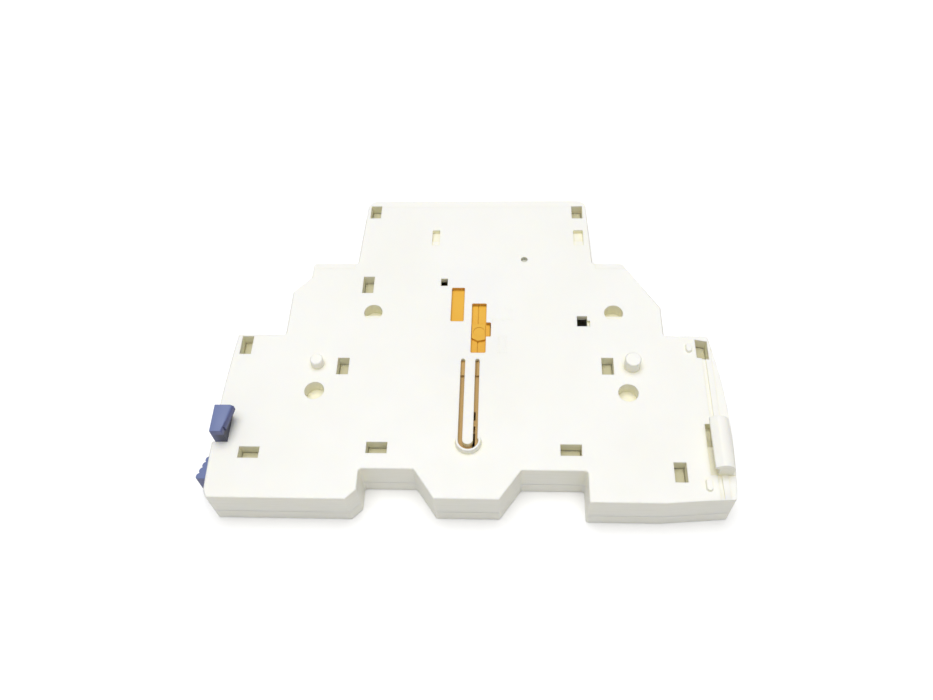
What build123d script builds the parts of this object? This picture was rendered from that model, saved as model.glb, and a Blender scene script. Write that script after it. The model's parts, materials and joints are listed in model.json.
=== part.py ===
from build123d import *
import os
from math import atan2, cos, degrees, radians, sin, sqrt

# Auxiliary contact block, half a module wide, that clips to the side of a rail-mounted circuit breaker.
# It lies on its cover with the coupling face up. Lengths are in millimetres.
# X runs along the block, Y from the rail to the nose, Z through its thickness from the cover up.
# The origin is on the cover's outer face, on the rail's seat, midway between the two rail notches.

# Thickness and walls
thickness = 8.8
parting_height = 3.2
face_wall = 1.2
cover_wall = 1.2
side_wall = 1.3
edge_chamfer = 0.3
parting_chamfer = 0.12

# Plan of the housing
back_y = -5.65
foot_y = -5.35
foot_half_width = 5.5
notch_floor_start = 9.2
left_notch_x = -18.5
right_notch_x = 20.3
notch_chamfer = 1.8
back_slope_x = 33.0
back_right_y = -4.7
left_low_x = -44.65
left_corner_width = 0.7
left_corner_length = 1.4
left_bow_x = -44.85
left_bow_y = 12.0
left_high_x = -44.1
right_low_x = 44.45
right_bow_x = 45.15
right_bow_y = 8.0
right_high_x = 43.3
lower_shoulder_y = 27.6
left_step_x = -35.1
left_step_y = 37.6
right_step_x = 35.4
right_step_y = 34.0
upper_shoulder_y = 44.7
left_upper_x = -31.9
left_upper_y = 41.2
right_upper_x = 28.8
nose_base_half_width = 23.1
nose_half_width = 22.35
nose_y = 61.3
nose_radius = 1.8
corner_radius = 0.5

# Lip that locates the cover in the base
lip_height = 0.75
lip_width = 0.45
lip_clearance = 0.1

# Lowered margins of the face, along the nose, the upper shoulders and the right end
margin_depth = 0.2
nose_margin = 1.9
shoulder_margin = 1.45
end_groove_x = 41.75
end_groove_width = 0.7
end_ledge_x = 43.45

# Snap joints between cover and base: windows in the face, as centre x, centre y, long side, turn
# and slant across the short side
window_width = 2.15
snap_windows = [
    (-20.65, 58.15, 3.45, 0, 0),
    (20.55, 58.0, 3.45, 0, 0),
    (-20.5, 39.25, 3.95, 0, 0),
    (-42.1, 25.05, 3.95, 0, 0),
    (-23.45, 20.55, 3.55, 0, 0),
    (24.75, 20.85, 3.55, 0, 0),
    (35.75, 0.0, 3.65, 0, 0),
    (-15.8, 4.0, 3.65, 90, 0),
    (17.65, 3.9, 3.65, 90, 0),
    (-38.0, 2.85, 3.6, 90, 0),
    (41.95, 24.55, 3.9, 0, 0.4),
]
window_corner = 0.25
socket_wall = 0.5
ledge_bottom = 4.4
ledge_thickness = 1.1
ledge_depth = 0.6
snap_clearance = 0.06
snap_head_height = 1.1
snap_lead = 0.15

# Plain openings of the face
nose_slot_length = 3.95
nose_slots = [(-7.9, 51.15, 1.5), (20.6, 51.15, 1.95)]
nose_slot_depth = 0.9
nose_slot_step_depth = 0.35
nose_slot_step_length = 1.3
nose_slot_floor = 0.5
pin_hole_x = 9.8
pin_hole_y = 45.55
pin_hole_radius = 0.65
pin_hole_depth = 0.8
square_hole_x = -5.7
square_hole_y = 39.9
square_hole_width = 1.3
square_hole_length = 1.75
key_hole_x = 20.55
key_hole_y = 30.75
key_hole_width = 1.9
key_hole_length = 2.3
key_notch_width = 0.5
key_notch_length = 1.3
key_notch_depth = 0.6

# Coupling pins and holes of the face
left_pin_x = -28.15
right_pin_x = 29.1
pin_y = 20.95
left_pin_radius = 1.15
right_pin_radius = 1.45
left_pin_height = 1.85
right_pin_height = 2.4
pin_edge = 0.25
bore_x = 28.1
bore_y = 15.3
bore_radius = 1.78
bore_depth = 2.6
bore_wall = 0.8
bore_floor = 0.6
left_seat_x = -18.95
right_seat_x = 26.5
seat_y = 32.65
seat_radius = 1.75
seat_flat = 1.35
seat_shelf = 0.25
seat_shelf_depth = 0.8

# Raised pips near the right end, as x, y, length
pips = [(39.6, 24.8, 1.9), (40.15, -2.3, 2.3)]
pip_width = 1.15
pip_height = 0.45
pip_taper = 15

# Spring tongue of the face, inside a U-shaped slot, with a collar round its tip
tongue_x = -0.13
tongue_width = 1.84
tongue_root_y = 21.9
tongue_tip_y = 4.85
tongue_slot = 0.8
collar_x = 0.03
collar_y = 5.15
collar_inner_radius = 1.8
collar_width = 0.48
collar_rim = 0.34
collar_height = 1.15
collar_angle = 205

# Fixed hook at the right end, moulded with the base, over a slot through the face
hook_front_y = -0.4
hook_back_y = 8.95
hook_stem_x = 41.8
hook_outer_x = 44.35
hook_tip_x = 40.95
hook_height = 3.45
hook_undercut = 2.1
hook_lip = 0.55
hook_crown = 1.0
hook_back_drop = 1.9
hook_waist = 0.25
hook_slot_x = 40.7
hook_slot_back_y = 9.2
hook_slot_deep_y = 4.9
hook_slot_depth = 1.9
hook_slot_shelf = 0.25
hook_slot_floor = 0.6

# Blue latch lever at the left end: catch over the face, ribbed grip outside the end wall
latch_pivot_x = -41.85
latch_pivot_y = 3.3
latch_pin_radius = 0.6
latch_eye_radius = 1.25
latch_clearance = 0.04
latch_gap = 0.15
arm_outer_x = -42.5
arm_inner_x = -41.2
catch_outer_x = -44.15
catch_inner_x = -42.0
catch_front_y = 4.75
catch_back_y = 9.95
catch_height = 4.0
catch_lift = 0.08
catch_lip_height = 1.6
catch_lip_front_y = 5.75
catch_lip_front_x = -41.7
catch_lip_back_x = -40.9
catch_chamfer = 0.5
neck_front_y = 5.25
neck_back_y = 9.6
neck_inner_x = -42.3
neck_low_z = 5.6
neck_swing_gap = 0.42
grip_end_x = -46.95
grip_end_y = -1.35
grip_top_x = -45.5
grip_top_y = 2.9
grip_inner_x = -42.2
grip_ridges = 4
grip_ridge_rise = 0.3
grip_low_z = 2.4
grip_high_z = 6.8
grip_opening_low_y = -1.95
grip_opening_high_y = 3.8
grip_opening_gap = 0.2
latch_spring_y = -0.4
latch_spring_length = 2.0
latch_spring_radius = 0.8
latch_spring_wire = 0.11
latch_spring_turns = 3
latch_spring_rib = 0.8

# Amber driver slide, its windows and its spring
driver_travel = 3.6
left_window = (-2.9, 34.6, 2.5, 7.9)
right_window = (1.23, 29.2, 2.78, 11.2)
window_notch_width = 0.9
window_notch_y = 28.8
window_notch_length = 3.2
driver_gap = 0.12
driver_thickness = 1.25
plate_wall = 0.7
plate_side_gap = 0.15
driver_left_x = -5.0
driver_right_x = 4.6
driver_top_y = 39.3
driver_neck_y = 19.2
stem_half_width = 2.35
stem_tip_y = 3.1
block_outline = [(-0.05, 27.1), (1.1, 26.45), (2.45, 26.75), (2.45, 30.25), (-0.05, 30.25)]
block_rise = 0.5
block_mark_x = 1.3
block_mark_y = 28.5
block_mark_radius = 1.05
block_mark_depth = 0.15
wing_edge_x = 3.3
wing_low_y = 27.0
wing_high_y = 30.5
wing_drop = 0.45
driver_groove_x = 1.08
driver_groove_width = 0.14
driver_groove_depth = 0.25
stem_cut_x = 0.85
stem_cut_width = 0.5
stem_cuts = [(6.9, 4.2), (11.0, 1.7)]
spring_seat_y = 36.3
spring_seat_thickness = 1.2
spring_stop_y = 48.2
spring_stop_thickness = 1.2
spring_peg_radius = 1.15
spring_peg_length = 1.8
driver_spring_radius = 1.65
driver_spring_wire = 0.22
driver_spring_turns = 5
guide_rib = 0.9
guide_rib_depth = 1.5

# Changeover contact
strip_low_z = 2.3
strip_height = 3.1
pivot_x = 14.5
pivot_y = 12.0
pivot_pin_radius = 0.8
pivot_clearance = 0.04
eye_radius = 1.7
blade_thickness = 0.6
blade_height = 2.7
blade_length = 26.8
blade_swing = 6.0
contact_arm = 25.5
rivet_radius = 1.25
rivet_head = 0.7
rivet_shank_radius = 0.6
contact_gap = 0.08
fork_half_width = 1.2
fork_lug = 1.2
fork_clearance = 0.1
bar_thickness = 0.9
cup_clearance = 0.06
cup_half_angle = 100
boss_wall = 0.7
clip_width = 3.0
clip_length = 1.8
clip_clearance = 0.05

# Terminals, as screw axis x, shoulder y and the side that the wire comes from
left_lower_terminal = (-37.9, lower_shoulder_y, -1)
left_upper_terminal = (-27.6, upper_shoulder_y, -1)
right_lower_terminal = (37.8, lower_shoulder_y, 1)
screw_radius = 1.5
screw_head_radius = 2.1
screw_head_height = 1.6
screw_head_depth = 1.6
screw_access_radius = 2.2
screw_slot_width = 0.7
screw_slot_depth = 0.8
screw_ledge_gap = 0.1
screw_ledge = 1.0
screw_ledge_reach = 0.25
screw_hole_clearance = 0.15
thread_clearance = 0.05
cage_width = 4.7
cage_wall = 0.75
cage_top = 1.4
cage_bottom = 1.0
cage_side_gap = 0.15
cage_travel = 3.6
wire_space = 4.5
terminal_depth = 10.3
terminal_bar_gap = 0.2
wire_entry_corner = 0.5
cage_guide = 0.7

# Heights and places that follow from the sizes above
mid_z = thickness / 2
ceiling_z = thickness - face_wall
strip_top_z = strip_low_z + strip_height
ledge_top = ledge_bottom + ledge_thickness
cage_low_z = cover_wall + cage_side_gap
cage_high_z = ceiling_z - cage_side_gap
wire_low_z = cage_low_z + cage_wall
wire_high_z = cage_high_z - cage_wall
terminals = [left_lower_terminal, left_upper_terminal, right_lower_terminal]
driver_top_z = ceiling_z - driver_gap
driver_low_z = driver_top_z - driver_thickness
plate_top_z = thickness - plate_wall - driver_gap
driver_spring_z = mid_z - 0.2
latch_spring_z = (grip_low_z + grip_high_z) / 2


def housing_plan(inset=0.0):
    """Plan of the housing, pulled inwards by inset."""
    with BuildSketch() as plan:
        with BuildLine():
            ThreePointArc(
                (left_low_x, back_y + left_corner_length),
                (left_bow_x, left_bow_y),
                (left_high_x, lower_shoulder_y),
            )
            Polyline(
                (left_high_x, lower_shoulder_y),
                (left_step_x, lower_shoulder_y),
                (left_step_x, left_step_y),
                (left_upper_x, left_upper_y),
                (left_upper_x, upper_shoulder_y),
                (-nose_base_half_width, upper_shoulder_y),
                (-nose_half_width, nose_y),
                (nose_half_width, nose_y),
                (nose_base_half_width, upper_shoulder_y),
                (right_upper_x, upper_shoulder_y),
                (right_step_x, right_step_y),
                (right_step_x, lower_shoulder_y),
                (right_high_x, lower_shoulder_y),
            )
            ThreePointArc(
                (right_high_x, lower_shoulder_y), (right_bow_x, right_bow_y), (right_low_x, back_right_y)
            )
            Polyline(
                (right_low_x, back_right_y),
                (back_slope_x, back_y),
                (right_notch_x, back_y),
                (right_notch_x, 0),
                (notch_floor_start, 0),
                (foot_half_width, foot_y),
                (-foot_half_width, foot_y),
                (-notch_floor_start, 0),
                (left_notch_x, 0),
                (left_notch_x, back_y + notch_chamfer),
                (left_notch_x - notch_chamfer, back_y),
                (left_low_x + left_corner_width, back_y),
                (left_low_x, back_y + left_corner_length),
            )
        make_face()
        if inset > 0:
            offset(amount=-inset, kind=Kind.INTERSECTION)
        if inset == 0:
            fillet(plan.vertices() - plan.vertices().sort_by(Axis.Y)[-2:], corner_radius)
        fillet(plan.vertices().sort_by(Axis.Y)[-2:], nose_radius - inset)
    return plan.sketch


def plan_ring(outer_inset, inner_inset):
    """Band of the plan between two insets."""
    with BuildSketch() as ring:
        add(housing_plan(outer_inset))
        add(housing_plan(inner_inset), mode=Mode.SUBTRACT)
    return ring.sketch


def block(x_range, y_range, z_range, mode=Mode.ADD):
    """Rectangular block between pairs of limits, in the open part."""
    centre = ((x_range[0] + x_range[1]) / 2, (y_range[0] + y_range[1]) / 2)
    with BuildSketch(Plane.XY.offset(z_range[0])) as base:
        with Locations(centre):
            Rectangle(x_range[1] - x_range[0], y_range[1] - y_range[0])
    extrude(base.sketch, amount=z_range[1] - z_range[0], mode=mode)


def post(x, y, radius, z_range, mode=Mode.ADD):
    """Round post or hole along Z, in the open part."""
    with BuildSketch(Plane.XY.offset(z_range[0])) as base:
        with Locations((x, y)):
            Circle(radius)
    extrude(base.sketch, amount=z_range[1] - z_range[0], mode=mode)


def rounded_window(x, y, width, length, z_range, corner=window_corner):
    """Rounded rectangular hole along Z, in the open part."""
    with BuildSketch(Plane.XY.offset(z_range[0])) as base:
        with Locations((x, y)):
            RectangleRounded(width, length, corner)
    extrude(base.sketch, amount=z_range[1] - z_range[0], mode=Mode.SUBTRACT)


def snap_pads(width, extra_length, shift, z_range, mode=Mode.ADD):
    """The same pad at every snap joint, shifted across the window's short side."""
    with BuildSketch(Plane.XY.offset(z_range[0])) as pads:
        for x, y, length, turn, slant in snap_windows:
            end_y = (length + extra_length) / 2
            lean = slant * width / window_width / 2
            with Locations(Location((x, y, 0), (0, 0, turn))):
                with Locations((shift, -shift * slant / window_width)):
                    Polygon(
                        (-width / 2, lean - end_y),
                        (width / 2, -lean - end_y),
                        (width / 2, end_y - lean),
                        (-width / 2, end_y + lean),
                    )
    extrude(pads.sketch, amount=z_range[1] - z_range[0], mode=mode)


def wire_entries(mode=Mode.SUBTRACT):
    """Wire tunnels of the three terminals, through the side walls up to the cages."""
    for axis_x, shoulder_y, side in terminals:
        top_y = shoulder_y - terminal_depth - bar_thickness - terminal_bar_gap
        reach = thickness + cage_width
        with BuildSketch(Plane.YZ.offset(axis_x + side * cage_width / 2)) as tunnel:
            with Locations((top_y - wire_space / 2, (wire_low_z + wire_high_z) / 2)):
                RectangleRounded(wire_space, wire_high_z - wire_low_z, wire_entry_corner)
        extrude(tunnel.sketch, amount=side * reach, mode=mode)


def screw_access(mode=Mode.SUBTRACT):
    """Screwdriver holes through the shoulders."""
    for axis_x, shoulder_y, side in terminals:
        with BuildSketch(Plane(origin=(axis_x, shoulder_y + 1, mid_z), z_dir=(0, -1, 0))) as hole:
            Circle(screw_access_radius)
        extrude(hole.sketch, amount=side_wall + 1.5, mode=mode)


def grip_opening():
    """Opening of the left end wall for the grip and its swing."""
    block(
        (left_bow_x - 1, left_bow_x + side_wall + 1),
        (grip_opening_low_y, grip_opening_high_y),
        (grip_low_z - grip_opening_gap, grip_high_z + grip_opening_gap),
        Mode.SUBTRACT,
    )


def strip(points, z_range):
    """Flat metal strip on its edge, along a run of points."""
    with BuildSketch(Plane.XY.offset(z_range[0])) as base:
        with BuildLine():
            centre_line = Polyline(*points)
            offset(centre_line, bar_thickness / 2, kind=Kind.INTERSECTION)
        make_face()
    extrude(base.sketch, amount=z_range[1] - z_range[0])


def bar_y(terminal):
    """Middle of a terminal's bar along Y."""
    return terminal[1] - terminal_depth - terminal_bar_gap / 2 - bar_thickness / 2


# Runs of the three bars
blade_tip_x = pivot_x - contact_arm
closed_contact_y = pivot_y - blade_thickness / 2 - 2 * rivet_head - contact_gap - bar_thickness / 2
swing_cos = cos(radians(blade_swing))
swing_sin = sin(radians(blade_swing))
raised_contact_y = pivot_y + contact_arm * swing_sin + (blade_thickness / 2 + rivet_head) * swing_cos
open_contact_y = (
    raised_contact_y + rivet_radius * swing_sin + contact_gap + rivet_head + bar_thickness / 2
)
tab_end_x = blade_tip_x + rivet_radius + 0.6
bar_reach = cage_width / 2 + 0.5
open_bar_corner_x = -23.0
open_bar_corner_y = 25.5
closed_bar_run = [
    (left_lower_terminal[0] - bar_reach, bar_y(left_lower_terminal)),
    (blade_tip_x - 8.5, bar_y(left_lower_terminal)),
    (blade_tip_x - 5.5, closed_contact_y),
    (tab_end_x, closed_contact_y),
]
open_bar_run = [
    (left_upper_terminal[0] - bar_reach, bar_y(left_upper_terminal)),
    (open_bar_corner_x, bar_y(left_upper_terminal)),
    (open_bar_corner_x, open_bar_corner_y),
    (blade_tip_x - 3.5, open_bar_corner_y),
    (blade_tip_x - 3.5, open_contact_y),
    (tab_end_x, open_contact_y),
]
cup_radius = eye_radius + cup_clearance + bar_thickness / 2
common_bar_run = [
    (right_lower_terminal[0] + bar_reach, bar_y(right_lower_terminal)),
    (22.0, bar_y(right_lower_terminal)),
    (pivot_x + cup_radius + 1.2, pivot_y),
    (pivot_x + cup_radius, pivot_y),
]

# Clips that hold the bars, as x, y and turn
bar_clips = [
    (-32.0, bar_y(left_lower_terminal), 0),
    (blade_tip_x - 3.2, closed_contact_y, 0),
    (open_bar_corner_x, 29.5, 90),
    (blade_tip_x - 3.5, 21.5, 90),
    (32.5, bar_y(right_lower_terminal), 0),
    (23.9, bar_y(right_lower_terminal), 0),
]

# Base shell: the moulding with the coupling face
with BuildPart() as base_shell:
    with BuildSketch(Plane.XY.offset(parting_height)):
        add(housing_plan())
    extrude(amount=thickness - parting_height)
    chamfer(base_shell.faces().sort_by(Axis.Z)[-1].edges(), edge_chamfer)
    chamfer(base_shell.faces().sort_by(Axis.Z)[0].edges(), parting_chamfer)

    # Hollow, and the rebate that takes the cover's lip
    with BuildSketch(Plane.XY.offset(parting_height)):
        add(housing_plan(side_wall))
    extrude(amount=ceiling_z - parting_height, mode=Mode.SUBTRACT)
    with BuildSketch(Plane.XY.offset(parting_height)):
        add(housing_plan(side_wall - lip_width - lip_clearance))
    extrude(amount=lip_height + lip_clearance, mode=Mode.SUBTRACT)

    # Snap sockets, closed on all sides and narrowed by the ledge at their foot
    snap_pads(window_width + 2 * socket_wall, 2 * socket_wall, 0, (ledge_bottom, ceiling_z))

    # Pads behind the shallow slots of the nose
    for x, y, width in nose_slots:
        block(
            (x - width / 2 - nose_slot_floor, x + width / 2 + nose_slot_floor),
            (y - nose_slot_length / 2 - nose_slot_floor, y + nose_slot_length / 2 + nose_slot_floor),
            (thickness - nose_slot_depth - nose_slot_floor, ceiling_z),
        )

    # Bosses behind the coupling holes and the half-round seats
    boss_low_z = thickness - bore_depth - bore_floor
    for x in (-bore_x, bore_x):
        post(x, bore_y, bore_radius + bore_wall, (boss_low_z, ceiling_z))
    for x in (left_seat_x, right_seat_x):
        post(x, seat_y, seat_radius + bore_wall, (boss_low_z, ceiling_z))

    # Pad behind the pocket of the fixed hook, run into the end wall
    block(
        (hook_slot_x - hook_slot_floor, hook_outer_x - hook_waist),
        (hook_slot_deep_y - hook_slot_floor, hook_slot_back_y + hook_slot_floor),
        (thickness - hook_slot_depth - hook_slot_floor, ceiling_z),
    )

    # Screw ledges, cage guides and bar clips
    for axis_x, shoulder_y, side in terminals:
        ledge_y = shoulder_y - screw_head_depth - screw_head_height - screw_ledge_gap
        block(
            (axis_x - cage_width / 2 - screw_ledge_reach, axis_x + cage_width / 2 + screw_ledge_reach),
            (ledge_y - screw_ledge, ledge_y),
            (cage_low_z, ceiling_z),
        )
        guide_top = ledge_y - screw_ledge
        for turn in (-1, 1):
            guide_x = axis_x + turn * (cage_width / 2 + cage_side_gap + cage_guide / 2)
            block(
                (guide_x - cage_guide / 2, guide_x + cage_guide / 2),
                (guide_top - cage_travel - cage_top - wire_space, guide_top),
                (wire_high_z, ceiling_z),
            )
    with BuildSketch(Plane.XY.offset(strip_low_z)):
        for x, y, turn in bar_clips:
            with Locations(Location((x, y, 0), (0, 0, turn))):
                Rectangle(clip_length, clip_width)
    extrude(amount=ceiling_z - strip_low_z)
    with BuildSketch(Plane.XY.offset(strip_low_z)):
        for x, y, turn in bar_clips:
            with Locations(Location((x, y, 0), (0, 0, turn))):
                Rectangle(clip_length + 1, bar_thickness + 2 * clip_clearance)
    extrude(amount=strip_height + clip_clearance, mode=Mode.SUBTRACT)
    for axis_x, shoulder_y, side in terminals:
        ledge_y = shoulder_y - screw_head_depth - screw_head_height - screw_ledge_gap
        with BuildSketch(Plane(origin=(axis_x, ledge_y, mid_z), x_dir=(1, 0, 0), z_dir=(0, -1, 0))):
            Circle(screw_radius + screw_hole_clearance)
            with Locations((0, -mid_z / 2)):
                Rectangle(2 * (screw_radius + screw_hole_clearance), mid_z)
        extrude(amount=screw_ledge, mode=Mode.SUBTRACT)

    # Pivot boss of the changeover blade
    post(pivot_x, pivot_y, pivot_pin_radius + boss_wall, (strip_top_z, ceiling_z))
    post(pivot_x, pivot_y, pivot_pin_radius, (strip_top_z, ceiling_z), Mode.SUBTRACT)

    # Guides of the driver slide and the stop of its spring
    for turn in (-1, 1):
        rib_x = turn * (stem_half_width + driver_gap + guide_rib / 2)
        block(
            (rib_x - guide_rib / 2, rib_x + guide_rib / 2),
            (stem_tip_y, driver_neck_y - 0.5),
            (ceiling_z - guide_rib_depth, ceiling_z),
        )
    block(
        (-stem_half_width, stem_half_width),
        (spring_stop_y, spring_stop_y + spring_stop_thickness),
        (strip_low_z, ceiling_z),
    )
    with BuildSketch(Plane(origin=(0, spring_stop_y, driver_spring_z), z_dir=(0, -1, 0))):
        Circle(spring_peg_radius)
    extrude(amount=spring_peg_length)

    # Seat of the latch's pin
    post(latch_pivot_x, latch_pivot_y, latch_eye_radius, (grip_high_z + latch_gap, ceiling_z))
    post(latch_pivot_x, latch_pivot_y, latch_pin_radius, (grip_high_z, ceiling_z), Mode.SUBTRACT)

    # Coupling pins
    for x, radius, height in (
        (left_pin_x, left_pin_radius, left_pin_height),
        (right_pin_x, right_pin_radius, right_pin_height),
    ):
        post(x, pin_y, radius, (thickness, thickness + height))
        chamfer(base_shell.faces().filter_by(GeomType.PLANE).sort_by(Axis.Z)[-1].edges(), pin_edge)

    # Fixed hook: round-backed profile in XZ, run along Y
    with BuildSketch(Plane.XZ.offset(-hook_back_y)):
        with BuildLine():
            top = thickness + hook_height
            lip_start = (hook_tip_x, top - hook_lip)
            crown_start = (hook_tip_x + hook_crown, top)
            crown_end = (hook_outer_x, top - hook_back_drop)
            Polyline(
                (hook_stem_x, ceiling_z),
                (hook_stem_x, thickness + hook_undercut),
                (hook_tip_x, top - 2 * hook_lip),
                lip_start,
                crown_start,
            )
            ThreePointArc(crown_start, (hook_outer_x - 0.6, top - 0.45), crown_end)
            Polyline(
                crown_end,
                (hook_outer_x - hook_waist, thickness),
                (hook_outer_x - hook_waist, ceiling_z),
                (hook_stem_x, ceiling_z),
            )
        make_face()
    extrude(amount=hook_back_y - hook_front_y)

    # Lowered margins of the face
    margin_z = thickness - margin_depth
    block((-nose_base_half_width, nose_base_half_width), (nose_y - nose_margin, nose_y + 1),
          (margin_z, thickness), Mode.SUBTRACT)
    for start, end in (
        (left_upper_x - 1, -nose_base_half_width - 0.5),
        (nose_base_half_width + 0.5, right_upper_x + 1),
    ):
        block((start, end), (upper_shoulder_y - shoulder_margin, upper_shoulder_y + 1),
              (margin_z, thickness), Mode.SUBTRACT)
    for start, end in (
        (end_groove_x, end_groove_x + end_groove_width),
        (end_ledge_x, right_bow_x + 1),
    ):
        for low_y, high_y in ((back_y, hook_front_y), (hook_back_y, snap_windows[-1][1])):
            block((start, end), (low_y, high_y), (margin_z, thickness), Mode.SUBTRACT)

    # Snap windows, wide above the ledge and narrow beside it
    snap_pads(window_width, 0, 0, (ledge_top, thickness), Mode.SUBTRACT)
    snap_pads(window_width - ledge_depth, 0, -ledge_depth / 2, (parting_height, ledge_top), Mode.SUBTRACT)

    # Plain openings
    for x, y, width in nose_slots:
        deep_y = y + nose_slot_step_length / 2
        deep_length = nose_slot_length - nose_slot_step_length
        rounded_window(x, y, width, nose_slot_length, (thickness - nose_slot_step_depth, thickness))
        rounded_window(x, deep_y, width, deep_length, (thickness - nose_slot_depth, thickness))
    post(pin_hole_x, pin_hole_y, pin_hole_radius, (thickness - pin_hole_depth, thickness), Mode.SUBTRACT)
    block(
        (square_hole_x - square_hole_width / 2, square_hole_x + square_hole_width / 2),
        (square_hole_y - square_hole_length / 2, square_hole_y + square_hole_length / 2),
        (ceiling_z, thickness),
        Mode.SUBTRACT,
    )
    key_low_y = key_hole_y - key_hole_length / 2
    key_high_x = key_hole_x + key_hole_width / 2
    block((key_high_x - key_hole_width, key_high_x), (key_low_y, key_low_y + key_hole_length),
          (ceiling_z, thickness), Mode.SUBTRACT)
    block((key_high_x - 0.1, key_high_x + key_notch_width), (key_low_y, key_low_y + key_notch_length),
          (thickness - key_notch_depth, thickness), Mode.SUBTRACT)

    # Coupling holes and half-round seats
    for x in (-bore_x, bore_x):
        post(x, bore_y, bore_radius, (thickness - bore_depth, thickness), Mode.SUBTRACT)
    for x in (left_seat_x, right_seat_x):
        for cut_low, depth in ((-seat_flat, seat_shelf_depth), (-seat_shelf, bore_depth)):
            with BuildSketch(Plane.XY.offset(thickness - depth)):
                with Locations((x, seat_y)):
                    Circle(seat_radius)
                with Locations((x, seat_y + cut_low - seat_radius)):
                    Rectangle(4 * seat_radius, 2 * seat_radius, mode=Mode.SUBTRACT)
            extrude(amount=depth, mode=Mode.SUBTRACT)

    # Pips
    with BuildSketch(Plane.XY.offset(thickness)):
        for x, y, length in pips:
            with Locations((x, y)):
                SlotOverall(length, pip_width, rotation=90)
    extrude(amount=pip_height, taper=pip_taper)

    # Recess over the driver's plate and its travel
    block(
        (driver_left_x - plate_side_gap, driver_right_x + plate_side_gap),
        (driver_neck_y - plate_side_gap, driver_top_y + driver_travel + plate_side_gap),
        (ceiling_z, thickness - plate_wall),
        Mode.SUBTRACT,
    )

    # Windows over the driver
    for x, y, width, length in (left_window, right_window):
        rounded_window(x, y, width, length, (ceiling_z, thickness))
    notch_edge = right_window[0] + right_window[2] / 2
    rounded_window(
        notch_edge, window_notch_y, 2 * window_notch_width, window_notch_length, (ceiling_z, thickness)
    )

    # Tongue: two straight slots joined by a half-round gap round the tip
    with BuildSketch(Plane.XY.offset(ceiling_z)):
        gap_width = tongue_width + 2 * tongue_slot
        slot_offset = (tongue_width + tongue_slot) / 2
        with Locations((tongue_x, (tongue_root_y + collar_y) / 2)):
            Rectangle(gap_width, tongue_root_y - collar_y)
        with Locations((tongue_x - slot_offset, tongue_root_y), (tongue_x + slot_offset, tongue_root_y)):
            Circle(tongue_slot / 2)
        with Locations((collar_x, collar_y)):
            Circle(collar_inner_radius)
        tip_radius = tongue_width / 2
        with Locations((tongue_x, (tongue_root_y + 1 + tongue_tip_y + tip_radius) / 2)):
            Rectangle(tongue_width, tongue_root_y + 1 - tongue_tip_y - tip_radius, mode=Mode.SUBTRACT)
        with Locations((tongue_x, tongue_tip_y + tip_radius)):
            Circle(tip_radius, mode=Mode.SUBTRACT)
    extrude(amount=face_wall, mode=Mode.SUBTRACT)

    # Collar round the tip: a profile turned through the collar's angle
    start_cos = cos(radians(270 - collar_angle / 2))
    start_sin = sin(radians(270 - collar_angle / 2))
    collar_plane = Plane(
        origin=(collar_x, collar_y, ceiling_z),
        x_dir=(start_cos, start_sin, 0),
        z_dir=(start_sin, -start_cos, 0),
    )
    with BuildSketch(collar_plane):
        with BuildLine():
            Polyline(
                (collar_inner_radius, 0),
                (collar_inner_radius, face_wall + collar_height),
                (collar_inner_radius + collar_rim, face_wall + collar_height),
                (collar_inner_radius + collar_width, face_wall),
                (collar_inner_radius + collar_width, 0),
                close=True,
            )
        make_face()
    revolve(axis=Axis((collar_x, collar_y, 0), (0, 0, 1)), revolution_arc=collar_angle)

    # Pocket under the fixed hook's lip, and the shallow shelf in front of it
    block((hook_slot_x, hook_stem_x), (hook_slot_deep_y, hook_slot_back_y),
          (thickness - hook_slot_depth, thickness), Mode.SUBTRACT)
    block((hook_slot_x, hook_stem_x), (hook_front_y, hook_slot_deep_y),
          (thickness - hook_slot_shelf, thickness), Mode.SUBTRACT)

    # Notch for the latch's neck and its swing, open through the end wall
    block(
        (left_bow_x - 1, neck_inner_x + latch_gap),
        (neck_front_y - neck_swing_gap, neck_back_y + latch_gap),
        (neck_low_z - latch_gap, thickness),
        Mode.SUBTRACT,
    )
    grip_opening()
    wire_entries()
    screw_access()
base_shell.part.label = "base_shell"

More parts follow.
